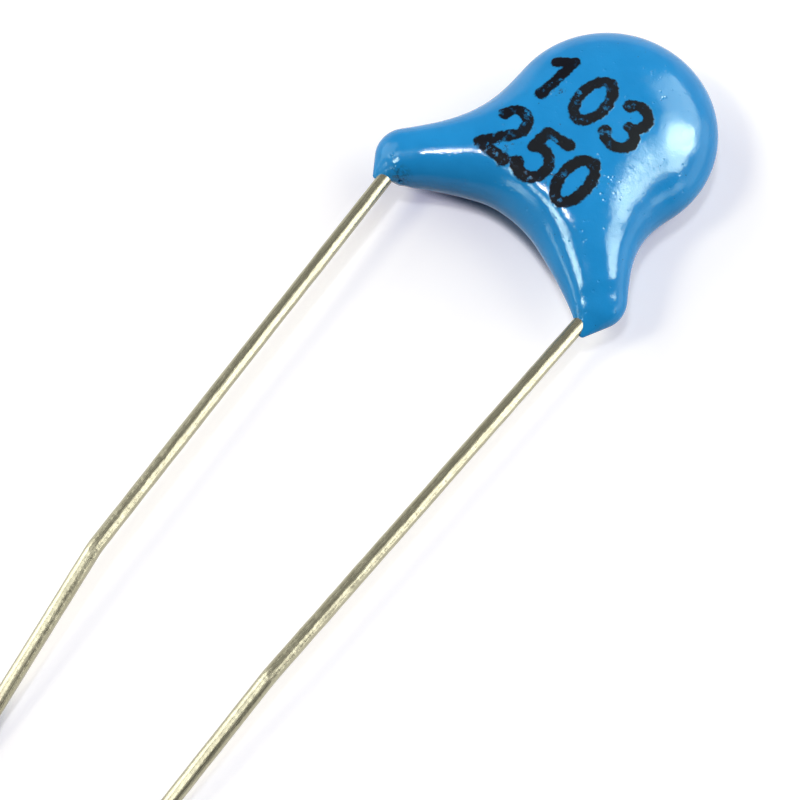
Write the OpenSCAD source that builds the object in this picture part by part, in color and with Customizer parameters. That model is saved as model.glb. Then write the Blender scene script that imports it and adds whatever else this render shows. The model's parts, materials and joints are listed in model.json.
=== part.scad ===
// Ceramic disc capacitor: a round ceramic element with a silver electrode fired onto each face, a
// tinned wire soldered to each electrode, and a dipped coating that runs down the wires as two legs.
// Millimetres. The part lies on its back: +Z is the normal of its front face, the leads point
// toward -Y, and the origin is on the flat of the underside, midway between the two legs and level
// with the centre of the disc.

/* [Ceramic element] */
// Diameter of the ceramic disc
ceramic_d = 6.4; // [5:0.1:8]
// Thickness of the ceramic disc
ceramic_t = 1.3; // [0.8:0.1:2.4]
// Bare ring of ceramic between an electrode and the edge
electrode_margin = 0.4; // [0.2:0.05:0.8]
// Thickness of each silver electrode
electrode_t = 0.05; // [0.02:0.01:0.1]

/* [Coating] */
// Coating outside the edge of the ceramic
edge_coat = 1.07; // [0.8:0.01:1.6]
// Coating over the soldered wires on each face
face_coat = 0.44; // [0.3:0.01:0.9]
// How far in from the edge the rounding of the rim starts
rim_depth = 3.3; // [2:0.1:3.6]
// How far the disc sits to the right of the line midway between the legs
disc_shift = 0.7; // [-1:0.1:1]
// Depth of the flat that the coating set with on its underside
seat_depth = 0.04; // [0.02:0.01:0.1]

/* [Legs] */
// How far the centre of the left leg's round end lies below the bottom of the disc
left_reach = 1.68; // [1.2:0.01:2]
// How far the centre of the right leg's round end lies below the bottom of the disc
right_reach = 1.59; // [1.2:0.01:2]
// Coating around the wire at the end of the left leg
left_coat = 0.86; // [0.7:0.01:1]
// Coating around the wire at the end of the right leg
right_coat = 0.76; // [0.7:0.01:1]
// Coating around the wire at the root of a leg
root_coat = 1.35; // [1.1:0.01:1.5]
// Distance between the roots of the two legs, inside the disc
root_spacing = 1.7; // [1:0.1:3]
// How far the roots lie up inside the disc from its bottom
root_inset = 1.58; // [1:0.01:2.4]
// Softness of the blend between the disc and the legs
shoulder_blend = 2.2; // [1.4:0.1:3]
// Softness of the blend between the two legs
crotch_blend = 1.6; // [0.8:0.1:2.4]

/* [Lips] */
// How far the coating ran on beside the left wire, from the round end of its leg to a lip
left_lip = 0.27; // [0.2:0.01:0.6]
// How far the coating ran on beside the right wire, from the round end of its leg to a lip
right_lip = 0.46; // [0.2:0.01:0.6]
// How far the tip of a lip lies outside the line of its wire
lip_side = 0.35; // [0.2:0.01:0.5]
// Radius of a lip's tip
lip_tip_r = 0.14; // [0.1:0.01:0.2]

/* [Leads] */
// Diameter of the tinned wire
lead_d = 0.6; // [0.4:0.05:0.8]
// Distance between the leads where they leave the legs
lead_pitch = 9.5; // [8:0.1:12.5]
// How far below the bottom of the disc a lead turns out of its leg's direction
lead_turn = 1.63; // [1.4:0.01:2]
// Straight run of the left lead, from its turn inside the leg to the kink
left_run = 19.3; // [8:0.1:30]
// Straight run of the right lead, from its turn inside the leg to the kink
right_run = 18.7; // [8:0.1:30]
// Run of each lead from the kink down to its tip
end_run = 10.3; // [6:0.1:16]
// Heading of the left lead, in degrees from -Y toward +X
left_heading = 4.2; // [-3:0.1:8]
// Heading of the right lead, in degrees from -Y toward +X
right_heading = -0.7; // [-8:0.1:3]
// Heading of the left lead past its kink
left_end_heading = 8.6; // [-3:0.1:12]
// Heading of the right lead past its kink
right_end_heading = 1.7; // [-8:0.1:8]
// Bend radius of the wire where it turns inside a leg
leg_bend_r = 1; // [0.6:0.1:1.4]
// Bend radius of the wire at the kink
kink_bend_r = 3; // [1:0.1:5]

/* [Solder joints] */
// Diameter of a solder mound on its electrode
solder_d = 2.6; // [1.6:0.1:3.6]
// Solder under the wire
solder_film = 0.06; // [0.04:0.01:0.1]
// Solder over the wire at the middle of the mound
solder_crown = 0.14; // [0.08:0.01:0.2]
// How far a wire runs past the middle of its electrode
wire_overrun = 0.8; // [0.4:0.1:1.6]

/* [Hidden] */

// Sides of a turned shape
$fn = 64;
// Rings along the coating's skin, and points in each ring
rings = 76;
ring_points = 32;
// How closely a point of the skin is found
skin_tolerance = 0.00001;

left = -1;
right = 1;
front = 1;
back = -1;

// The stack, from the middle of the ceramic out to the coating's faces
electrode_r = ceramic_d / 2 - electrode_margin;
electrode_top = ceramic_t / 2 + electrode_t;
face_wire_z = electrode_top + solder_film + lead_d / 2;
half_t = face_wire_z + lead_d / 2 + face_coat;
disc_r = ceramic_d / 2 + edge_coat;

// Height of the ceramic's mid-plane above the surface that the part lies on
mid_z = half_t - seat_depth;

// Legs and lips, in the mid-plane
disc_centre = [disc_shift, 0, 0];
leg_root_r = lead_d / 2 + root_coat;
function leg_root(side) = [side * root_spacing / 2, -disc_r + root_inset, 0];
function leg_tip_r(side) = lead_d / 2 + (side == left ? left_coat : right_coat);
function leg_tip(side) = [side * lead_pitch / 2, -disc_r - (side == left ? left_reach : right_reach), 0];
function lip_tip(side) =
    [side * (lead_pitch / 2 + lip_side),
     leg_tip(side).y - leg_tip_r(side) - (side == left ? left_lip : right_lip) + lip_tip_r, 0];

// Where a lead turns out of its leg's direction
function lead_corner(side) = [side * lead_pitch / 2, -disc_r - lead_turn, 0];

// The skin is cut by a fan of planes about an upright line below the crotch, placed where the
// planes through the two leads' turns stand square to each other
pivot = [0, lead_corner(right).y - lead_pitch / 2, 0];
fan_reach = norm(pivot) + disc_r;

// Wires, in the mid-plane: clear of the ceramic's edge before they come off its face
edge_clearance = 0.35;
bend_thinning = 0.004;
bend_lap = 0.02;
fall = asin((mid_z - lead_d / 2) / end_run);

// ---- Vectors ----

function unit(v) = v / norm(v);

// Level direction at a heading from -Y toward +X
function along(heading) = [sin(heading), -cos(heading), 0];

// Sets children on three square unit axes at a point
module place(x, y, z, at)
    multmatrix([[x.x, y.x, z.x, at.x],
                [x.y, y.y, z.y, at.y],
                [x.z, y.z, z.z, at.z],
                [0, 0, 0, 1]])
        children();

// ---- Form of the coating: a field that is negative inside, with the mid-plane at z = 0 ----

// Joins two fields and lets their surfaces run together over a band of width k
function soft_min(a, b, k) = min(a, b) - pow(max(k - abs(a - b), 0), 2) / (4 * k);
function soft_max(a, b, k) = -soft_min(-a, -b, k);

// A disc with flat faces and an elliptical rim
function disc_field(p) =
    let (past = max(norm([p.x - disc_shift, p.y]) - (disc_r - rim_depth), 0))
    (norm([past / rim_depth, p.z / half_t]) - 1) * min(rim_depth, half_t);

// A cone with round ends, whose side runs straight from one to the other and touches both
function cone_field(p, from, to, from_r, to_r) =
    let (length = norm(to - from),
         axis = (to - from) / length,
         u = (p - from) * axis,
         w = norm(p - from - u * axis),
         nearest = min(max(u - w * tan(asin((from_r - to_r) / length)), 0), length))
    norm([u - nearest, w]) - from_r - (to_r - from_r) * nearest / length;

// A leg: a cone from its root in the disc to its end, and one from there to its lip
function leg_field(p, side) =
    min(cone_field(p, leg_root(side), leg_tip(side), leg_root_r, leg_tip_r(side)),
        cone_field(p, leg_tip(side), lip_tip(side), leg_tip_r(side), lip_tip_r));

// Keeps the faces of the whole body flat, with a soft edge
face_blend = 0.3;
function body_field(p) =
    let (legs = soft_min(leg_field(p, left), leg_field(p, right), crotch_blend))
    soft_max(soft_min(disc_field(p), legs, shoulder_blend), abs(p.z) - half_t, face_blend);

// ---- Skin of the coating ----

function fan_ray(angle) = [sin(angle), cos(angle), 0];

// Point of the skin on a line that starts inside the body
function skin_point(from, dir, near, far) =
    let (mid = (near + far) / 2)
    far - near < skin_tolerance ? from + mid * dir
    : body_field(from + mid * dir) < 0 ? skin_point(from, dir, mid, far)
    : skin_point(from, dir, near, mid);

// Distance along a ray of the fan at which it is deepest inside the body
function deepest(ray, near, far) =
    let (a = near + (far - near) / 3, b = far - (far - near) / 3)
    far - near < skin_tolerance ? (near + far) / 2
    : body_field(pivot + a * ray) < body_field(pivot + b * ray) ? deepest(ray, near, b)
    : deepest(ray, a, far);

// One section of the skin, as points around its own middle
function skin_ring(angle) =
    let (ray = fan_ray(angle),
         depth = deepest(ray, 0, fan_reach),
         seed = pivot + depth * ray,
         near = skin_point(seed, -ray, 0, depth),
         far = skin_point(seed, ray, 0, fan_reach - depth),
         middle = (near + far) / 2,
         half_w = norm(far - near) / 2,
         half_h = min(half_w, half_t))
    [for (j = [0:ring_points - 1])
        let (a = 360 * j / ring_points,
             dir = unit(half_w * cos(a) * ray + [0, 0, half_h * sin(a)]))
        skin_point(middle, dir, 0, half_w + half_h)];

// The end of a lip, where a plane of the fan only touches it: its angle in the fan, and the point
function end_angle(side) =
    let (lip = lip_tip(side) - pivot)
    atan2(lip.x, lip.y) + side * asin(lip_tip_r / norm(lip));
function end_point(side) =
    pivot + sqrt(pow(norm(lip_tip(side) - pivot), 2) - pow(lip_tip_r, 2)) * fan_ray(end_angle(side));

module skin() {
    // The planes close up toward the ends
    middle = (end_angle(left) + end_angle(right)) / 2;
    spread = (end_angle(right) - end_angle(left)) / 2;
    points = [
        end_point(left),
        for (i = [1:rings])
            each skin_ring(middle - spread * cos(180 * i / (rings + 1))),
        end_point(right)
    ];
    last = len(points) - 1;
    function at(ring, j) = 1 + ring * ring_points + j % ring_points;

    // Two faces between four points, split along the shorter diagonal
    function patch(a, b, c, d) =
        norm(points[a] - points[c]) < norm(points[b] - points[d])
        ? [[a, b, c], [a, c, d]]
        : [[a, b, d], [b, c, d]];
    faces = [
        for (j = [0:ring_points - 1]) [0, at(0, j), at(0, j + 1)],
        for (ring = [0:rings - 2], j = [0:ring_points - 1])
            each patch(at(ring, j), at(ring + 1, j), at(ring + 1, j + 1), at(ring, j + 1)),
        for (j = [0:ring_points - 1]) [last, at(rings - 1, j + 1), at(rings - 1, j)]
    ];
    polyhedron(points, faces);
}

// ---- Wires ----

// Angle that a path turns through at one of its points
function turn(path, i) =
    acos(unit(path[i] - path[i - 1]) * unit(path[i + 1] - path[i]));

// Straight wire between two points, held back from each by the bend there
module straight_wire(from, to, from_setback, to_setback) {
    z = unit(to - from);
    x = unit(cross([0, 0, 1], z));
    place(x, cross(z, x), z, from + from_setback * z)
        cylinder(h = norm(to - from) - from_setback - to_setback, d = lead_d);
}

// Bend of the wire at a corner of its path. Drawn wire thins a little where it bends, so the ends
// of the bend run into the straights beside it.
module bent_wire(before, corner, after, r) {
    into = unit(corner - before);
    out = unit(after - corner);
    angle = acos(into * out);
    inward = unit(out - (into * out) * into);
    centre = corner - r * tan(angle / 2) * into + r * inward;
    lap = asin(bend_lap / r);
    place(-inward, into, cross(-inward, into), centre)
        rotate([0, 0, -lap])
            rotate_extrude(angle = angle + 2 * lap)
                translate([r, 0])
                    circle(d = lead_d - bend_thinning);
}

// Wire along a path, with a bend of its own radius at each corner
module wire(path, bends) {
    last = len(path) - 1;
    setback = [for (i = [0:last]) i == 0 || i == last ? 0 : bends[i - 1] * tan(turn(path, i) / 2)];
    for (i = [0:last - 1])
        straight_wire(path[i], path[i + 1], setback[i], setback[i + 1]);
    for (i = [1:last - 1])
        bent_wire(path[i - 1], path[i], path[i + 1], bends[i - 1]);
}

// A lead: across its electrode, off the ceramic and down its leg, out to the kink, and down to
// the surface that the part lies on
module lead(side, face, heading, run, end_heading) {
    corner = lead_corner(side);
    inward = unit(disc_centre - corner);
    lift = [0, 0, face * face_wire_z];
    off_face = ceramic_d / 2 + edge_clearance;
    kink = corner + run * along(heading);
    end = kink + end_run * (cos(fall) * along(end_heading) - [0, 0, sin(fall)]);
    translate([0, 0, mid_z])
        wire([disc_centre + wire_overrun * inward + lift,
              disc_centre - off_face * inward + lift,
              corner, kink, end],
             [leg_bend_r, leg_bend_r, kink_bend_r]);
}

module left_lead()
    color([0.78, 0.77, 0.70])
        lead(left, back, left_heading, left_run, left_end_heading);

module right_lead()
    color([0.78, 0.77, 0.70])
        lead(right, front, right_heading, right_run, right_end_heading);

// ---- Ceramic, electrodes and solder ----

module ceramic_disc()
    color([0.72, 0.55, 0.38])
        translate([disc_shift, 0, mid_z - ceramic_t / 2])
            cylinder(h = ceramic_t, d = ceramic_d);

// Sets children on one face of the ceramic, with +Z pointing out of it
module on_face(face)
    translate([disc_shift, 0, mid_z])
        rotate([face == front ? 0 : 180, 0, 0])
            translate([0, 0, ceramic_t / 2])
                children();

module electrode(face)
    on_face(face)
        cylinder(h = electrode_t, r = electrode_r);

module front_electrode() color([0.86, 0.86, 0.84]) electrode(front);
module back_electrode() color([0.86, 0.86, 0.84]) electrode(back);

// A mound of solder on its electrode: the cap of a sphere
module solder_mound(face) {
    cap_h = solder_film + lead_d + solder_crown;
    cap_r = (pow(solder_d / 2, 2) + pow(cap_h, 2)) / (2 * cap_h);
    on_face(face)
        translate([0, 0, electrode_t])
            intersection() {
                translate([0, 0, cap_h - cap_r])
                    sphere(r = cap_r);
                cylinder(h = 2 * cap_h, d = 2 * solder_d);
            }
}

module front_solder()
    color([0.66, 0.67, 0.68])
        difference() {
            solder_mound(front);
            right_lead();
        }

module back_solder()
    color([0.66, 0.67, 0.68])
        difference() {
            solder_mound(back);
            left_lead();
        }

// ---- Coating ----

module epoxy_coating()
    color([0.13, 0.54, 0.83])
        difference() {
            translate([0, 0, mid_z])
                skin();
            // The flat of the underside
            translate([-lead_pitch, pivot.y, -half_t])
                cube([2 * lead_pitch, fan_reach, half_t]);
            ceramic_disc();
            electrode(front);
            electrode(back);
            solder_mound(front);
            solder_mound(back);
            left_lead();
            right_lead();
        }

epoxy_coating();
ceramic_disc();
front_electrode();
back_electrode();
front_solder();
back_solder();
left_lead();
right_lead();
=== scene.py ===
"""Looks of a ceramic disc capacitor that lies on a white table: its dipped blue coating with an ink
marking, its two tinned wire leads, and the ceramic, silver and solder sealed inside.
Lengths are in millimetres, up to the point where a mesh, a lamp or the camera is made."""

import json
import math

import bpy
import numpy as np
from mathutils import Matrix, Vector


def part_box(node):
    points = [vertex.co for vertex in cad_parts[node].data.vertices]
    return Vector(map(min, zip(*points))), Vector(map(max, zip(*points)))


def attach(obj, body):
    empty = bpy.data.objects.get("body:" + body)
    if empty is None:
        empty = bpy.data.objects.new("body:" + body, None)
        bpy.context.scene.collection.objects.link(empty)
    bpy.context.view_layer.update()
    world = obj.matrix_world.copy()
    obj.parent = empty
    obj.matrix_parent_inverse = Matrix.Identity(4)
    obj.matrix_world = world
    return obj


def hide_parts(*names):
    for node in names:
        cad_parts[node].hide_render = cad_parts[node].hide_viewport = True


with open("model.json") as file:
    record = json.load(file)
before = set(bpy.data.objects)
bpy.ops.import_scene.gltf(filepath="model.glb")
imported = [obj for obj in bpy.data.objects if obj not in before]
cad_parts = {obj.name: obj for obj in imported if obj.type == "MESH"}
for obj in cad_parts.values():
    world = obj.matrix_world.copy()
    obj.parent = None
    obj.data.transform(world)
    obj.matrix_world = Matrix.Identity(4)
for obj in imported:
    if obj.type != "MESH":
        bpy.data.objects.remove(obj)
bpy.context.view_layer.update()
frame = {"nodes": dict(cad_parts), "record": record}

MM = 0.001
BODY = "root"
MOUNTS = {mount["name"]: mount for mount in frame["record"]["mounts"]}

LEFT, RIGHT = -1, 1
SIDES = (LEFT, RIGHT)
FRONT, BACK = 1, -1

# Sizes from the CAD source
CERAMIC_D = 6.4
WIRE_R = 0.3
EDGE_COAT = 1.07
FACE_COAT = 0.44
FACE_WIRE_Z = 1.06
RIM_DEPTH = 3.3
DISC_SHIFT = 0.7
SEAT_DEPTH = 0.04
LEG_REACH = {LEFT: 1.68, RIGHT: 1.59}
LEG_COAT = {LEFT: 0.86, RIGHT: 0.76}
ROOT_COAT = 1.35
ROOT_SPACING = 1.7
ROOT_INSET = 1.58
SHOULDER_BLEND = 2.2
CROTCH_BLEND = 1.6
FACE_BLEND = 0.3
LIP_REACH = {LEFT: 0.27, RIGHT: 0.46}
LIP_SIDE = 0.35
LIP_TIP_R = 0.14
LEAD_PITCH = 9.5
LEAD_TURN = 1.63
LEG_BEND_R = 1.0
KINK_BEND_R = 3.0
WIRE_OVERRUN = 0.8
EDGE_CLEARANCE = 0.35

# Worked out from them, as in the CAD source
DISC_R = CERAMIC_D / 2 + EDGE_COAT
HALF_T = FACE_WIRE_Z + WIRE_R + FACE_COAT
MID_Z = HALF_T - SEAT_DEPTH
LEG_ROOT_R = WIRE_R + ROOT_COAT
LEG_ROOT_Y = ROOT_INSET - DISC_R
LEG_TIP_R = {side: WIRE_R + LEG_COAT[side] for side in SIDES}
LEG_TIP_Y = {side: -DISC_R - LEG_REACH[side] for side in SIDES}
LIP_TIP_Y = {side: LEG_TIP_Y[side] - LEG_TIP_R[side] - LIP_REACH[side] + LIP_TIP_R for side in SIDES}
LEAD_CORNER_Y = -DISC_R - LEAD_TURN

# How far the wires of the photograph lie to the right of the CAD's, where they turn and at the kink
CORNER_SHIFT = {LEFT: -0.1, RIGHT: 0.02}
KINK_SHIFT = {LEFT: -0.05, RIGHT: 0.08}


# ---- Small helpers ----

def unit(v):
    return v / np.linalg.norm(v)


def point(*xyz):
    return np.array(xyz, float)


def line_distance(p, start, end):
    """How far points are from the line between two others."""
    axis = end - start
    t = np.clip((p - start) @ axis / (axis @ axis), 0, 1)
    return np.linalg.norm(p - start - t[..., None] * axis, axis=-1)


def make_piece(name, points, faces, material, body=BODY):
    """A smooth shaded mesh object from points in millimetres."""
    mesh = bpy.data.meshes.new(name)
    mesh.from_pydata((points * MM).tolist(), [], faces)
    mesh.polygons.foreach_set("use_smooth", [True] * len(mesh.polygons))
    mesh.materials.append(material)
    mesh.update()
    piece = bpy.data.objects.new(name, mesh)
    bpy.context.scene.collection.objects.link(piece)
    if body:
        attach(piece, body)
    return piece


def store(piece, name, values, kind="FLOAT"):
    """Keeps a value for each vertex, which a material can read by its name."""
    attribute = piece.data.attributes.new(name, kind, "POINT")
    field = "value" if kind == "FLOAT" else "vector"
    attribute.data.foreach_set(field, np.ascontiguousarray(values, np.float32).ravel())


# ---- Form of the coating: a field that is negative inside ----

def soft_min(a, b, k):
    return np.minimum(a, b) - np.maximum(k - np.abs(a - b), 0) ** 2 / (4 * k)


def soft_max(a, b, k):
    return -soft_min(-a, -b, k)


def cone_field(p, start, end, start_r, end_r):
    """A cone with round ends, whose side touches both."""
    length = np.linalg.norm(end - start)
    axis = (end - start) / length
    u = (p - start) @ axis
    w = np.linalg.norm(p - start - u[..., None] * axis, axis=-1)
    nearest = np.clip(u - w * math.tan(math.asin((start_r - end_r) / length)), 0, length)
    return np.hypot(u - nearest, w) - start_r - (end_r - start_r) * nearest / length


def leg_field(p, side):
    """A leg: a cone from its root in the disc to its end, and one from there to its lip."""
    root = point(side * ROOT_SPACING / 2, LEG_ROOT_Y, MID_Z)
    tip = point(side * LEAD_PITCH / 2, LEG_TIP_Y[side], MID_Z)
    lip = point(side * (LEAD_PITCH / 2 + LIP_SIDE), LIP_TIP_Y[side], MID_Z)
    return np.minimum(cone_field(p, root, tip, LEG_ROOT_R, LEG_TIP_R[side]),
                      cone_field(p, tip, lip, LEG_TIP_R[side], LIP_TIP_R))


def dipped_field(p):
    """The disc and the two legs, run together as in the CAD source."""
    x, y, z = p[..., 0], p[..., 1], p[..., 2] - MID_Z
    past = np.maximum(np.hypot(x - DISC_SHIFT, y) - (DISC_R - RIM_DEPTH), 0)
    disc = (np.hypot(past / RIM_DEPTH, z / HALF_T) - 1) * min(RIM_DEPTH, HALF_T)
    legs = soft_min(leg_field(p, LEFT), leg_field(p, RIGHT), CROTCH_BLEND)
    whole = soft_min(disc, legs, SHOULDER_BLEND)
    return soft_max(whole, np.abs(z) - HALF_T, FACE_BLEND)


# How a leg gets thinner toward its end than a cone would: its side, how far before the middle of its
# round end that starts, how fast it goes per millimetre, and its limit
DROOPS = [
    (LEFT, 0.55, 0.2, 2.0),
    (RIGHT, 3.0, 0.05, 2.0),
    (RIGHT, 0.38, 0.46, 0.36),
]
# Length over which a droop sets in
DROOP_ONSET = 0.25

# The outer shoulder of the right leg, fuller than the dipped form alone: its line, rise and width
SHOULDER_START = point(4.25, -3.0, 2.9)
SHOULDER_END = point(5.0, -4.5, 2.6)
SHOULDER_RISE = 0.08
SHOULDER_WIDTH = 0.9

# Where the coating drew back from the left wire or caught a bubble: middle, radius, blend
HOLLOWS = [
    (point(-4.38, -7.33, 1.4), 0.42, 0.2),
    (point(-3.9, -7.1, 1.3), 0.34, 0.2),
    (point(-4.2, -6.84, 1.95), 0.09, 0.06),
]

# Blend between the coating and the flat that it lies on
SEAT_BLEND = 0.02


def droop(p):
    """The factor by which a leg is thinner than a cone would be."""
    thinner = np.ones(p.shape[:-1])
    for side, start, rate, limit in DROOPS:
        root = point(side * ROOT_SPACING / 2, LEG_ROOT_Y)
        tip = point(side * LEAD_PITCH / 2, LEG_TIP_Y[side])
        past = (p[..., :2] - tip) @ unit(tip - root) + start
        further = (past + np.hypot(past, DROOP_ONSET)) / 2
        thinner += np.where(p[..., 0] * side > 0, limit * np.tanh(rate * further / limit), 0)
    return thinner


def coating_field(p):
    """The dipped form with its droops, shoulder and hollows, cut by the flat that it lies on."""
    bent = p - point(0, 0, MID_Z)
    bent = np.concatenate([bent[..., :2], bent[..., 2:] * droop(p)[..., None]], -1)
    whole = dipped_field(bent + point(0, 0, MID_Z))
    for middle, radius, blend in HOLLOWS:
        whole = soft_max(whole, radius - np.linalg.norm(p - middle, axis=-1), blend)
    away = line_distance(p, SHOULDER_START, SHOULDER_END)
    whole = whole - SHOULDER_RISE * np.exp(-(away / SHOULDER_WIDTH) ** 2)
    return soft_max(whole, -p[..., 2], SEAT_BLEND)


# ---- Mesh of a field ----

# Share of the way to the mean of its neighbours that a corner goes in each round
SPREAD = 0.6
# Steps that then bring it back to the surface
LANDINGS = 2


def surface_net(field, low, high, step):
    """Quads over the surface where a field is zero, with one corner in each cell that it crosses."""
    axes = [np.arange(a, b + step, step) for a, b in zip(low, high)]
    grid = np.stack(np.meshgrid(*axes, indexing="ij"), -1)
    value = field(grid)
    cells = tuple(n - 1 for n in value.shape)
    total, count = np.zeros(cells + (3,)), np.zeros(cells)
    crossings = []
    for axis in range(3):
        along = [slice(None)] * 3
        along[axis] = slice(None, -1)
        here = value[tuple(along)]
        base = grid[tuple(along)]
        along[axis] = slice(1, None)
        there = value[tuple(along)]
        crossed = (here < 0) != (there < 0)
        edge = np.stack(np.nonzero(crossed), -1)
        near, far = here[crossed], there[crossed]
        at = base[crossed] + (near / (near - far))[:, None] * step * np.eye(3)[axis]
        around = [np.eye(3, dtype=int)[(axis + 1) % 3], np.eye(3, dtype=int)[(axis + 2) % 3]]
        ring = [edge, edge - around[0], edge - around[0] - around[1], edge - around[1]]
        for cell in ring:
            np.add.at(total, tuple(cell.T), at)
            np.add.at(count, tuple(cell.T), 1)
        crossings.append((ring, near < 0))
    index = np.cumsum(count.ravel() > 0).reshape(cells) - 1
    quads = []
    for ring, leaves in crossings:
        quad = np.stack([index[tuple(cell.T)] for cell in ring], -1)
        quads.append(np.where(leaves[:, None], quad, quad[:, ::-1]))
    used = count > 0
    return total[used] / count[used][:, None], np.concatenate(quads)


def slope_of(field, p, step=1e-3):
    """How fast a field rises along each axis."""
    rises = [field(p + step * axis) - field(p - step * axis) for axis in np.eye(3)]
    return np.stack(rises, -1) / (2 * step)


def settle(field, points, quads, rounds):
    """Spreads the corners evenly over the surface, each of them exactly on it."""
    edges = np.concatenate([quads[:, [i, (i + 1) % 4]] for i in range(4)])
    edges = np.concatenate([edges, edges[:, ::-1]])
    share = np.bincount(edges[:, 0], minlength=len(points))[:, None]
    for _ in range(rounds):
        mean = np.stack([np.bincount(edges[:, 0], points[edges[:, 1], i], len(points))
                         for i in range(3)], -1) / share
        points = points + SPREAD * (mean - points)
        for _ in range(LANDINGS):
            slope = slope_of(field, points)
            points = points - (field(points) / (slope ** 2).sum(1))[:, None] * slope
    return points


# ---- Marking: strokes of ink on the front face ----

def arc(centre, radii, start, end, pieces=10):
    """Points along part of an ellipse, with angles in degrees from +X."""
    angles = np.radians(np.linspace(start, end, pieces + 1))
    return [(centre[0] + radii[0] * math.cos(a), centre[1] + radii[1] * math.sin(a)) for a in angles]


# Strokes of plain digits in a box one unit high, from its lower left corner
DIGITS = {
    "0": [arc((0.31, 0.5), (0.27, 0.5), 80, 440, 20)],
    "1": [[(0.08, 0.8), (0.36, 0.98), (0.34, 0.5), (0.3, 0.0)]],
    "2": [arc((0.31, 0.72), (0.26, 0.28), 165, -35) + [(0.04, 0.02), (0.62, 0.0)]],
    "3": [arc((0.28, 0.74), (0.26, 0.25), 150, -80)
          + arc((0.28, 0.25), (0.3, 0.26), 80, -150, 12)],
    "5": [[(0.58, 1.0), (0.12, 0.97), (0.08, 0.55)]
          + arc((0.28, 0.31), (0.31, 0.31), 120, -140, 12)],
}
# Rows of the marking: digits, the lower left corner of the first, and the advance
ROWS = [
    ("103", point(-2.55, -1.1), 1.72),
    ("250", point(-2.6, -4.2), 1.66),
]
DIGIT_H = 2.0
# Half the width of a stroke, and the radius of the blob of ink at each of its ends
STROKE_R = 0.235
BLOB_R = 0.285
# Where a finger dragged the wet ink: the ends of each line, and half its width
SMEARS = [
    (point(-1.9, -1.0), point(-1.3, -0.55), 0.25),
    (point(-1.75, -3.9), point(-1.35, -2.7), 0.35),
    (point(0.15, -3.3), point(0.6, -3.75), 0.3),
    (point(1.6, -3.3), point(2.0, -2.8), 0.25),
]
# The distance that stands for any place far from the ink
FAR = 1.0


def on_front(points, distance):
    """Keeps distances on the front half, and counts the rest as far away."""
    return np.where(points[:, 2] > MID_Z, distance, FAR)


def ink_distance(points):
    """How far each point is from the edge of the nearest stroke, negative inside."""
    xy = points[:, :2]
    nearest = np.full(len(points), FAR)
    for digits, corner, advance in ROWS:
        for place, digit in enumerate(digits):
            for stroke in DIGITS[digit]:
                path = corner + point(place * advance, 0) + DIGIT_H * np.array(stroke)
                for start, end in zip(path, path[1:]):
                    nearest = np.minimum(nearest, line_distance(xy, start, end) - STROKE_R)
                for end in (path[0], path[-1]):
                    nearest = np.minimum(nearest, np.linalg.norm(xy - end, axis=-1) - BLOB_R)
    return on_front(points, nearest)


def smear_distance(points):
    """How far each point is from the edge of the nearest smear, negative inside."""
    nearest = np.full(len(points), FAR)
    for start, end, half_width in SMEARS:
        nearest = np.minimum(nearest, line_distance(points[:, :2], start, end) - half_width)
    return on_front(points, nearest)


# ---- Materials ----

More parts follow.
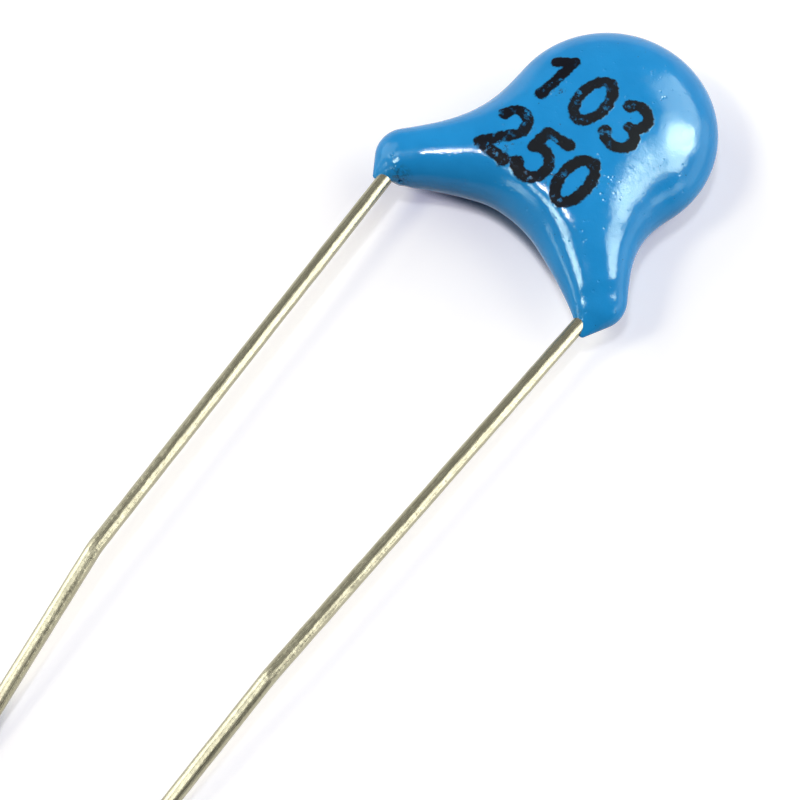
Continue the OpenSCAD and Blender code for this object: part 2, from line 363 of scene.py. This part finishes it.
class Shader:
    """The nodes of a material or of the world, made and joined in single calls."""

    def __init__(self, owner):
        owner.use_nodes = True
        self.owner = owner
        self.nodes = owner.node_tree.nodes
        self.links = owner.node_tree.links
        self.nodes.clear()

    def add(self, kind, inputs=None, out=0, **settings):
        """Makes a node, sets its inputs to values or to other nodes' outputs, and returns an output."""
        node = self.nodes.new("ShaderNode" + kind)
        for key, value in settings.items():
            setattr(node, key, value)
        for key, value in (inputs or {}).items():
            if isinstance(value, bpy.types.NodeSocket):
                self.links.new(value, node.inputs[key])
            else:
                node.inputs[key].default_value = value
        return node.outputs[out]

    def math(self, operation, a, b=0.0):
        return self.add("Math", {0: a, 1: b}, operation=operation)

    def blend(self, factor, a, b):
        """A colour between two colours."""
        return self.add("Mix", {0: factor, 6: a, 7: b}, out=2, data_type="RGBA")

    def ramp(self, value, low, high, to_low=0.0, to_high=1.0):
        """Takes a value from one range smoothly to another."""
        return self.add("MapRange", {0: value, 1: low, 2: high, 3: to_low, 4: to_high},
                        interpolation_type="SMOOTHSTEP")

    def noise(self, where, scale, detail=2.0, roughness=0.5):
        return self.add("TexNoise", {"Vector": where, "Scale": scale, "Detail": detail,
                                     "Roughness": roughness})

    def cells(self, where, scale):
        """How far a place is from the nearest of many scattered points."""
        return self.add("TexVoronoi", {"Vector": where, "Scale": scale}, out="Distance")

    def place(self):
        """Position on the piece in millimetres."""
        where = self.add("TexCoord", out="Object")
        return self.add("VectorMath", {0: where, 3: 1 / MM}, operation="SCALE")

    def near(self, where, place, radius, soft):
        """One close to a place, falling to nothing past a radius."""
        distance = self.add("VectorMath", {0: where, 1: tuple(place)}, out="Value",
                            operation="DISTANCE")
        return self.ramp(distance, radius - soft, radius + soft, 1.0, 0.0)

    def stored(self, name, out="Fac"):
        return self.add("Attribute", out=out, attribute_name=name)

    def bump(self, height, depth, normal=None):
        """A bump of a height field, with its depth in millimetres."""
        inputs = {"Height": height, "Strength": 1.0, "Distance": depth * MM}
        if normal is not None:
            inputs["Normal"] = normal
        return self.add("Bump", inputs)

    def shown(self):
        """One for a ray straight from the camera, off metal or gloss, or through glass."""
        path = self.nodes.new("ShaderNodeLightPath")
        shown = path.outputs["Is Camera Ray"]
        for other in ("Is Glossy Ray", "Is Transmission Ray"):
            shown = self.math("MAXIMUM", shown, path.outputs[other])
        return shown

    def finish(self, surface):
        """Gives the material or the world its surface, and returns it."""
        kind = "World" if isinstance(self.owner, bpy.types.World) else "Material"
        output = self.nodes.new("ShaderNodeOutput" + kind)
        self.links.new(surface, output.inputs["Surface"])
        return self.owner


def new_material(name):
    return Shader(bpy.data.materials.new(name))


# Colours of the lacquer, in two shades, of its fine flecks, its specks, the painted shade and marks near
# the wires, and the ink
BLUE = (0.010, 0.259, 0.588, 1)
PALE_BLUE = (0.014, 0.284, 0.630, 1)
FLECK_BLUE = (0.008, 0.13, 0.36, 1)
SPECK_BLUE = (0.006, 0.05, 0.13, 1)
SHADE_AND_MARK_BLUE = (0.010, 0.055, 0.075, 1)
INK = (0.004, 0.004, 0.008, 1)
# How strongly the lacquer and the ink refract
COAT_IOR = 1.3

# Darker patches near the wires: the two by the left wire are painted shade in the hollow where the
# coating drew back, and on the right leg there is a small flaw and a darker patch by the wire; middle,
# radius, softness, strength
SHADE_AND_MARKS = [
    (point(-4.25, -6.8, 2.25), 0.3, 0.3, 1.0),
    (point(-4.0, -7.0, 1.9), 0.12, 0.1, 0.9),
    (point(4.21, -6.45, 2.47), 0.06, 0.05, 1.6),
    (point(4.45, -7.0, 2.2), 0.25, 0.2, 0.6),
]
# Specks that stand up under the lacquer: middle, radius, height
BEADS = [
    (point(4.6, -5.94, 2.78), 0.1, 0.03),
    (point(-4.95, -6.45, 2.6), 0.12, 0.02),
]


def lacquer_colour(s, where, specks):
    """Blue in faint clouds, with fine flecks, specks, painted shade by the left wire, and a flaw and a
    darker patch on the right leg.
    """
    clouds = s.ramp(s.noise(where, 0.7, 3.0), 0.3, 0.7)
    paint = s.blend(clouds, BLUE, PALE_BLUE)
    flecks = s.ramp(s.noise(where, 9.0, 4.0, 0.6), 0.6, 0.75, 0.0, 0.2)
    paint = s.blend(flecks, paint, FLECK_BLUE)
    speck = s.ramp(specks, 0.03, 0.055, 1.0, 0.0)
    paint = s.blend(s.math("MULTIPLY", speck, 0.6), paint, SPECK_BLUE)
    blotch = s.ramp(s.noise(where, 7.0, 4.0, 0.7), 0.4, 0.62)
    # Painted shade at the left wire's exit, and a small flaw and a darker patch on the right leg, all in
    # one dark colour
    for place, radius, soft, amount in SHADE_AND_MARKS:
        patchy = s.math("MULTIPLY", blotch, amount)
        shade_and_mark = s.math("MULTIPLY", s.near(where, place, radius, soft), patchy)
        paint = s.blend(shade_and_mark, paint, SHADE_AND_MARK_BLUE)
    return paint


def ink_cover(s, where):
    """How far the ink covers the lacquer: ragged strokes, worn in patches, and speckled smears."""
    ragged = s.ramp(s.noise(where, 4.0, 3.0, 0.6), 0.2, 0.8, -0.05, 0.05)
    stroke = s.ramp(s.math("ADD", s.stored("ink"), ragged), -0.045, 0.03, 1.0, 0.0)
    worn = s.ramp(s.noise(where, 3.5, 5.0, 0.65), 0.53, 0.7)
    worn = s.math("MULTIPLY", worn, s.ramp(s.noise(where, 0.9, 1.0), 0.42, 0.62))
    kept = s.math("MULTIPLY", stroke, s.math("SUBTRACT", 1.0, s.math("MULTIPLY", worn, 0.75)))
    speckle = s.ramp(s.noise(where, 5.0, 6.0, 0.75), 0.52, 0.62)
    smeared = s.math("MULTIPLY", s.ramp(s.stored("smear"), -0.25, 0.08, 1.0, 0.0), speckle)
    return s.math("MAXIMUM", kept, s.math("MULTIPLY", smeared, 0.85))


def lacquer_relief(s, where, specks, ink):
    """Orange peel, specks, crowds of pinholes, the edge of the ink, and beads."""
    normal = s.bump(s.noise(where, 3.0), 0.0045)
    normal = s.bump(s.noise(where, 8.0), 0.003, normal)
    normal = s.bump(s.noise(where, 14.0, 3.0), 0.003, normal)
    normal = s.bump(s.ramp(specks, 0.02, 0.06), 0.006, normal)
    crowd = s.ramp(s.noise(where, 1.3), 0.4, 0.65, 0.08, 0.27)
    pinholes = s.ramp(s.math("DIVIDE", s.cells(where, 3.4), crowd), 0.3, 1.0)
    normal = s.bump(pinholes, 0.009, normal)
    normal = s.bump(ink, 0.006, normal)
    for place, radius, height in BEADS:
        normal = s.bump(s.near(where, place, radius / 2, radius / 2), height, normal)
    return normal


def coating_material():
    """Glossy blue lacquer with a fine orange peel, pinholes and worn black ink."""
    s = new_material("blue_coating")
    where = s.place()
    specks = s.cells(where, 1.6)
    ink = ink_cover(s, where)
    normal = lacquer_relief(s, where, specks, ink)
    gloss = s.ramp(s.noise(where, 2.0, 3.0), 0.3, 0.7, 0.09, 0.14)
    lacquer = s.add("BsdfPrincipled", {"Base Color": lacquer_colour(s, where, specks),
                                       "Roughness": gloss, "IOR": COAT_IOR, "Normal": normal})
    black = s.add("BsdfPrincipled", {"Base Color": INK, "Roughness": 0.5, "IOR": COAT_IOR,
                                     "Specular IOR Level": 0.1, "Normal": normal})
    return s.finish(s.add("MixShader", {0: ink, 1: lacquer, 2: black}))


# Colours of the wire: its two shades, its draw marks and its spots of tarnish
TIN = (0.44, 0.42, 0.30, 1)
DULL_TIN = (0.39, 0.37, 0.26, 1)
DRAW_MARK = (0.27, 0.24, 0.17, 1)
TARNISH = (0.22, 0.12, 0.08, 1)


def wire_material():
    """Drawn and tinned wire: lengthwise scratches, dull patches, nicks and a warm tarnish."""
    s = new_material("tinned_wire")
    straight = s.stored("straight", "Vector")
    drawn = s.add("VectorMath", {0: straight, 1: (1.0, 1.0, 0.04)}, operation="MULTIPLY")
    streaks = s.noise(drawn, 14.0, 4.0, 0.7)
    patches = s.ramp(s.noise(straight, 1.4, 3.0, 0.6), 0.3, 0.7)
    metal = s.blend(patches, TIN, DULL_TIN)
    metal = s.blend(s.ramp(streaks, 0.5, 0.8, 0.0, 0.5), metal, DRAW_MARK)
    spots = s.ramp(s.noise(straight, 5.0, 4.0, 0.7), 0.62, 0.74)
    metal = s.blend(s.math("MULTIPLY", spots, 0.6), metal, TARNISH)
    normal = s.bump(streaks, 0.006)
    normal = s.bump(s.noise(straight, 3.0, 4.0, 0.6), 0.02, normal)
    surface = s.add("BsdfPrincipled", {"Base Color": metal, "Metallic": 1.0,
                                       "Roughness": s.ramp(streaks, 0.3, 0.8, 0.22, 0.36),
                                       "Normal": normal})
    return s.finish(surface)


def ceramic_material():
    """Pressed and fired ceramic with a fine grain."""
    s = new_material("fired_ceramic")
    grain = s.noise(s.place(), 12.0, 4.0, 0.6)
    colour = s.blend(s.ramp(grain, 0.3, 0.7), (0.52, 0.31, 0.16, 1), (0.62, 0.40, 0.22, 1))
    surface = s.add("BsdfPrincipled", {"Base Color": colour, "Roughness": 0.6,
                                       "Normal": s.bump(grain, 0.01)})
    return s.finish(surface)


def silver_material():
    """Silver paste, printed and fired, with the mesh of its screen."""
    s = new_material("fired_silver")
    where = s.place()
    screen = s.add("TexChecker", {"Vector": where, "Scale": 12.0}, out="Fac")
    cloudy = s.noise(where, 2.5, 3.0)
    colour = s.blend(s.ramp(cloudy, 0.3, 0.7), (0.80, 0.79, 0.75, 1), (0.70, 0.69, 0.66, 1))
    surface = s.add("BsdfPrincipled", {"Base Color": colour, "Metallic": 1.0,
                                       "Roughness": s.ramp(cloudy, 0.3, 0.7, 0.4, 0.55),
                                       "Normal": s.bump(screen, 0.004)})
    return s.finish(surface)


def solder_material():
    """Bright solder, dulled in patches as it froze."""
    s = new_material("solder")
    frost = s.noise(s.place(), 4.0, 5.0, 0.65)
    colour = s.blend(s.ramp(frost, 0.4, 0.65), (0.62, 0.62, 0.63, 1), (0.45, 0.45, 0.46, 1))
    surface = s.add("BsdfPrincipled", {"Base Color": colour, "Metallic": 1.0,
                                       "Roughness": s.ramp(frost, 0.4, 0.65, 0.18, 0.4),
                                       "Normal": s.bump(frost, 0.01)})
    return s.finish(surface)


# ---- Coating ----

# Size of a cell of the skin's mesh, the room left around the CAD's coating, and rounds of settling
SKIN_STEP = 0.06
SKIN_ROOM = point(0.3, 0.5, 0.2)
SKIN_ROUNDS = 6


def make_coating():
    low, high = (np.array(corner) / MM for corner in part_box("epoxy_coating"))
    points, quads = surface_net(coating_field, low - SKIN_ROOM, high + SKIN_ROOM, SKIN_STEP)
    points = settle(coating_field, points, quads, SKIN_ROUNDS)
    piece = make_piece("coating", points, quads.tolist(), coating_material())
    store(piece, "ink", ink_distance(points))
    store(piece, "smear", smear_distance(points))
    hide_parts("epoxy_coating")
    return piece


# ---- Leads ----

# Distance between the rings of a wire's mesh, and the points in a ring
WIRE_STEP = 0.09
WIRE_SIDES = 40
END_CHAMFER = 0.05
# Waves of unevenness along and around a wire, and the height of each
WAVES = 14
WAVE_HEIGHT = 0.0012


def bend(before, corner, after, radius, spacing):
    """Points along the arc that rounds a corner of a path."""
    into, out = unit(corner - before), unit(after - corner)
    angle = math.acos(float(np.clip(into @ out, -1, 1)))
    inward = unit(out - (into @ out) * into)
    centre = corner - radius * math.tan(angle / 2) * into + radius * inward
    turns = np.linspace(0, angle, max(3, math.ceil(radius * angle / spacing)))
    return [centre + radius * (math.sin(a) * into - math.cos(a) * inward) for a in turns]


def straight_run(start, end, spacing):
    """Points on the way from one point to another, with the last and without the first."""
    steps = math.ceil(np.linalg.norm(end - start) / spacing)
    return list(np.linspace(start, end, steps + 1)[1:])


def rounded_path(corners, radii, spacing):
    """A path through corners, with an arc at each inner one and even steps between."""
    marks = [corners[0]]
    for i, radius in enumerate(radii):
        turn = bend(corners[i], corners[i + 1], corners[i + 2], radius, spacing)
        marks += straight_run(marks[-1], turn[0], spacing) + turn[1:]
    marks += straight_run(marks[-1], corners[-1], spacing)
    return np.array(marks)


def tube_faces(count, sides):
    """Faces of a tube of rings, whose last two points are the middles of its ends."""
    first, last = count * sides, count * sides + 1
    top = (count - 1) * sides
    faces = []
    for i in range(count - 1):
        for j in range(sides):
            k = (j + 1) % sides
            faces.append((i * sides + j, i * sides + k, (i + 1) * sides + k, (i + 1) * sides + j))
    for j in range(sides):
        k = (j + 1) % sides
        faces.append((first, k, j))
        faces.append((last, top + j, top + k))
    return faces


def sweep(path, radius_at, sides):
    """A closed tube along a path: its points, the same points with the path made straight, its faces."""
    steps = np.linalg.norm(np.diff(path, axis=0), axis=1)
    along = np.concatenate([[0], np.cumsum(steps)])
    tangent = np.gradient(path, along, axis=0)
    tangent /= np.linalg.norm(tangent, axis=1, keepdims=True)
    across = [unit(np.cross(tangent[0], [0, 0, 1]))]
    for t in tangent[1:]:
        across.append(unit(across[-1] - (across[-1] @ t) * t))
    across = np.array(across)
    upward = np.cross(across, tangent)
    angle = np.arange(sides) * 2 * np.pi / sides
    around = (np.cos(angle)[None, :, None] * across[:, None]
              + np.sin(angle)[None, :, None] * upward[:, None])
    radius = radius_at(along[:, None], angle[None, :])
    rings = path[:, None] + radius[..., None] * around
    straight = np.stack([radius * np.cos(angle), radius * np.sin(angle),
                         np.broadcast_to(along[:, None], radius.shape)], -1)
    points = np.concatenate([rings.reshape(-1, 3), path[[0, -1]]])
    straight = np.concatenate([straight.reshape(-1, 3), [[0, 0, along[0]], [0, 0, along[-1]]]])
    return points, straight, tube_faces(len(path), sides)


def lead_path(side, face, mount):
    """The wire's own line: across its electrode, down its leg, out to the kink and to its end."""
    centre = point(DISC_SHIFT, 0, MID_Z)
    corner = point(side * LEAD_PITCH / 2 + CORNER_SHIFT[side], LEAD_CORNER_Y, MID_Z)
    inward = unit(centre - corner)
    lift = point(0, 0, face * FACE_WIRE_Z)
    start = centre + WIRE_OVERRUN * inward + lift
    off_face = centre - (CERAMIC_D / 2 + EDGE_CLEARANCE) * inward + lift
    end = point(*mount["pos_m"]) / MM
    axis = point(*mount["axis"])
    kink = end - (end[2] - MID_Z) / axis[2] * axis + point(KINK_SHIFT[side], 0, 0)
    corners = [start, off_face, corner, kink, end]
    return rounded_path(corners, [LEG_BEND_R, LEG_BEND_R, KINK_BEND_R], WIRE_STEP)


def make_lead(name, side, face, seed):
    path = lead_path(side, face, MOUNTS[name + "_end"])
    random = np.random.default_rng(seed)
    waves = [(random.uniform(0.5, 5.0), random.integers(0, 4), random.uniform(0, 2 * np.pi, 2))
             for _ in range(WAVES)]

    def radius_at(along, angle):
        ripple = sum(np.sin(rate * along + phase[0]) * np.cos(turns * angle + phase[1])
                     for rate, turns, phase in waves)
        chamfer = np.minimum(np.minimum(along, along.max() - along), END_CHAMFER)
        return WIRE_R - END_CHAMFER + chamfer + WAVE_HEIGHT * ripple

    points, straight, faces = sweep(path, radius_at, WIRE_SIDES)
    piece = make_piece(name + "_wire", points, faces, WIRE)
    store(piece, "straight", straight, "FLOAT_VECTOR")
    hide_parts(name)
    return piece


# ---- Pieces ----

def dress(material, *nodes):
    """Gives CAD nodes that stay as they are a finished material."""
    for name in nodes:
        for slot in frame["nodes"][name].material_slots:
            slot.material = material


WIRE = wire_material()
COATING = make_coating()
LEADS = [make_lead("left_lead", LEFT, BACK, 3), make_lead("right_lead", RIGHT, FRONT, 8)]
dress(ceramic_material(), "ceramic_disc")
dress(silver_material(), "front_electrode", "back_electrode")
dress(solder_material(), "front_solder", "back_solder")


# ---- Camera ----

# The camera's heading is this far from +Y toward -X, and it looks down at this elevation
CAMERA_HEADING = math.radians(40.02)
CAMERA_ELEVATION = math.radians(72)
CAMERA_DISTANCE = 71.0
CAMERA_AIM = point(1.505, -13.672, MID_Z)
LENS = 85.5

AHEAD = point(-math.sin(CAMERA_HEADING), math.cos(CAMERA_HEADING), 0)
ACROSS = point(math.cos(CAMERA_HEADING), math.sin(CAMERA_HEADING), 0)


def aim(obj, place, target):
    """Puts a camera, lamp or screen at a place and turns it to another."""
    obj.location = place * MM
    obj.rotation_euler = Vector(target - place).to_track_quat("-Z", "Y").to_euler()


def make_camera():
    data = bpy.data.cameras.new("camera")
    data.sensor_width = 36
    data.lens = LENS
    data.clip_start = 1 * MM
    data.clip_end = 20
    camera = bpy.data.objects.new("camera", data)
    bpy.context.scene.collection.objects.link(camera)
    back = -math.cos(CAMERA_ELEVATION) * AHEAD + point(0, 0, math.sin(CAMERA_ELEVATION))
    aim(camera, CAMERA_AIM + CAMERA_DISTANCE * back, CAMERA_AIM)
    bpy.context.scene.camera = camera


# ---- Table and surroundings ----

TABLE_R = 4000.0
TABLE_SIDES = 64
# How far the painted dark shadow at the foot of the piece reaches
PAINTED_SHADOW_REACH = 0.85


def table_material():
    """White paper that shows as plain white wherever the lamps reach it, and keeps shadows, with a dark
    shadow painted at the foot of the piece.
    """
    s = new_material("white_table")
    dull = s.add("BsdfDiffuse", {"Color": (0.3, 0.3, 0.3, 1)})
    paper = s.add("BsdfDiffuse", {"Color": (0.93, 0.93, 0.76, 1)})
    lift = s.add("Emission", {"Color": (0.21, 0.19, 0.32, 1), "Strength": 1.0})
    bright = s.add("AddShader", {0: paper, 1: lift})
    # Painted shadow: a dark blue that takes over from the paper where the piece shuts the table in,
    # under its edges
    painted_contact_shadow = s.add("BsdfDiffuse", {"Color": (0.15, 0.22, 0.33, 1)})
    openness = s.add("AmbientOcclusion", {"Distance": PAINTED_SHADOW_REACH * MM}, out="AO", samples=16)
    bright = s.add("MixShader", {0: s.ramp(openness, 0.45, 0.85), 1: painted_contact_shadow, 2: bright})
    return s.finish(s.add("MixShader", {0: s.shown(), 1: dull, 2: bright}))


def make_table():
    angle = np.arange(TABLE_SIDES) * 2 * np.pi / TABLE_SIDES
    points = np.stack([TABLE_R * np.cos(angle), TABLE_R * np.sin(angle), np.zeros(TABLE_SIDES)], -1)
    piece = make_piece("table", points, [tuple(range(TABLE_SIDES))], table_material(), body=None)


def make_world():
    """White where it shows, and a faint blue light otherwise."""
    s = Shader(bpy.data.worlds.new("studio"))
    shade = s.add("Background", {"Color": (0.82, 0.90, 1.0, 1), "Strength": 0.1})
    white = s.add("Background", {"Color": (1, 1, 1, 1), "Strength": 1.0})
    bpy.context.scene.world = s.finish(s.add("MixShader", {0: s.shown(), 1: shade, 2: white}))


# ---- Lamps and screens ----

LAMP_DISTANCE = 2500.0
SCREEN_DISTANCE = 1.2 * LAMP_DISTANCE

WHITE = (1, 1, 1)
WARM = (1, 0.96, 0.86)
BLUISH = (0.73, 0.77, 1)
AQUA = (0.8, 1, 0.87)

# Each row below starts with a name, an azimuth to the right of the camera's own heading, an
# elevation, an angular width and an angular height, in degrees

# Lamps that light the piece, each with its level and tint
SOFT_LIGHTS = [
    ("left_key", -95, 48, 13, 13, 0.23, WARM),
    ("left_spot", -100, 82, 7, 7, 0.2, BLUISH),
    ("left_light", -60, 25, 44, 40, 0.42, WHITE),
    ("right_key", 75, 42, 56, 40, 0.32, WHITE),
    ("right_low_light", 90, 15, 50, 26, 0.42, WHITE),
]
# Lamps that show only as reflections in the coating, each with its radiance, tint and lean in degrees
COAT_GLINTS = [
    ("left_wall", -66, 22, 40, 44, 2.3, AQUA, 0),
    ("right_wall", 86, 12, 46, 22, 1.5, AQUA, 0),
    ("right_panel", 52, 38, 34, 36, 7.5, AQUA, 0),
    ("right_core", 69.5, 45.5, 15, 33, 33, AQUA, -22),
    ("right_crest", 51, 60, 12, 7, 18, AQUA, 0),
    ("right_side", 90.5, 45.5, 16, 20, 24, AQUA, 0),
    ("right_high", 82, 59, 6, 7, 25, AQUA, 0),
    ("right_foot", 79, 29, 8, 9, 14, AQUA, 0),
    ("right_edge", 115, 24, 12, 13, 5, AQUA, 0),
    ("left_box", -112, 43.5, 8.5, 17, 33, AQUA, 0),
    ("left_glow", -84, 43, 14, 34, 5, AQUA, 0),
    ("left_low", -103, 9, 9, 9, 7, AQUA, 0),
    ("left_far", -125, 18, 8, 11, 8, AQUA, 0),
    ("left_soft", -72, 73, 7, 6, 11, WHITE, 0),
    ("top_spot", -100, 71.2, 7, 4.6, 115, WHITE, 0),
]
# The same for the wires
WIRE_GLINTS = [
    ("left_strip", -74, 24, 36, 48, 2.3, WHITE, 0),
    ("left_high_strip", -135, 66, 46, 28, 2.4, WHITE, 0),
    ("right_strip", 103, 42, 26, 52, 2.6, WHITE, 0),
    ("right_low_strip", 115, 8, 18, 24, 2.4, WHITE, 0),
]
# Screens that keep the white surroundings out of the reflections, each with its material and grey
SCREENS = [
    ("back_screen", -5, 35, 84, 84, "mid_grey", 0.42),
    ("front_screen", 180, 32, 116, 84, "dark_grey", 0.2),
    ("ceiling", 0, 90, 60, 60, "ceiling_grey", 0.35),
]


def towards(azimuth, elevation):
    """A direction, with its azimuth in degrees to the right of the camera's own heading."""
    a, e = math.radians(azimuth), math.radians(elevation)
    level = math.sin(a) * ACROSS + math.cos(a) * AHEAD
    return math.cos(e) * level + point(0, 0, math.sin(e))


def half_width(distance, angle):
    """Half the width that spans an angle in degrees from a distance."""
    return distance * math.tan(math.radians(angle / 2))


def softbox(name, azimuth, elevation, width, height, tint):
    """A rectangular lamp of a given angular size, seen from the piece."""
    lamp = bpy.data.lights.new(name, "AREA")
    lamp.shape = "RECTANGLE"
    lamp.size = 2 * half_width(LAMP_DISTANCE * MM, width)
    lamp.size_y = 2 * half_width(LAMP_DISTANCE * MM, height)
    lamp.color = tint
    obj = bpy.data.objects.new(name, lamp)
    bpy.context.scene.collection.objects.link(obj)
    aim(obj, towards(azimuth, elevation) * LAMP_DISTANCE, point(0, 0, 0))
    obj.visible_camera = False
    return obj


def soft_light(name, azimuth, elevation, width, height, level, tint):
    """A lamp that lights a surface turned to it at a level, where 1 shows a colour as it is written."""
    obj = softbox(name, azimuth, elevation, width, height, tint)
    obj.data.energy = 4 * math.pi * level * (LAMP_DISTANCE * MM) ** 2
    obj.visible_glossy = False


def glint(pieces, name, azimuth, elevation, width, height, radiance, tint, lean):
    """A lamp that shows only as a reflection in the pieces of one collection."""
    obj = softbox(name, azimuth, elevation, width, height, tint)
    obj.rotation_euler.rotate_axis("Z", math.radians(lean))
    obj.data.energy = 4 * radiance * obj.data.size * obj.data.size_y
    obj.visible_diffuse = False
    obj.light_linking.receiver_collection = pieces


def collect(name, *pieces):
    collection = bpy.data.collections.new(name)
    for piece in pieces:
        collection.objects.link(piece)
    return collection


def flat_grey(name, grey):
    s = new_material(name)
    return s.finish(s.add("Emission", {"Color": (grey, grey, grey, 1), "Strength": 1.0}))


def grey_screen(name, azimuth, elevation, width, height, material, grey):
    """A plain grey screen that shows only in reflections."""
    half_w = half_width(SCREEN_DISTANCE, width)
    half_h = half_width(SCREEN_DISTANCE, height)
    corners = np.array([(x * half_w, y * half_h, 0) for x, y in ((-1, -1), (1, -1), (1, 1), (-1, 1))])
    piece = make_piece(name, corners, [(0, 1, 2, 3)], flat_grey(material, grey), body=None)
    aim(piece, towards(azimuth, elevation) * SCREEN_DISTANCE, point(0, 0, 0))
    piece.visible_camera = False
    piece.visible_diffuse = False
    piece.visible_shadow = False


make_table()
make_world()
make_camera()
for row in SOFT_LIGHTS:
    soft_light(*row)
COAT_ONLY = collect("coat_only", COATING)
WIRES_ONLY = collect("wires_only", *LEADS)
for row in COAT_GLINTS:
    glint(COAT_ONLY, *row)
for row in WIRE_GLINTS:
    glint(WIRES_ONLY, *row)
for row in SCREENS:
    grey_screen(*row)

scene = bpy.context.scene
scene.view_settings.view_transform = "Standard"
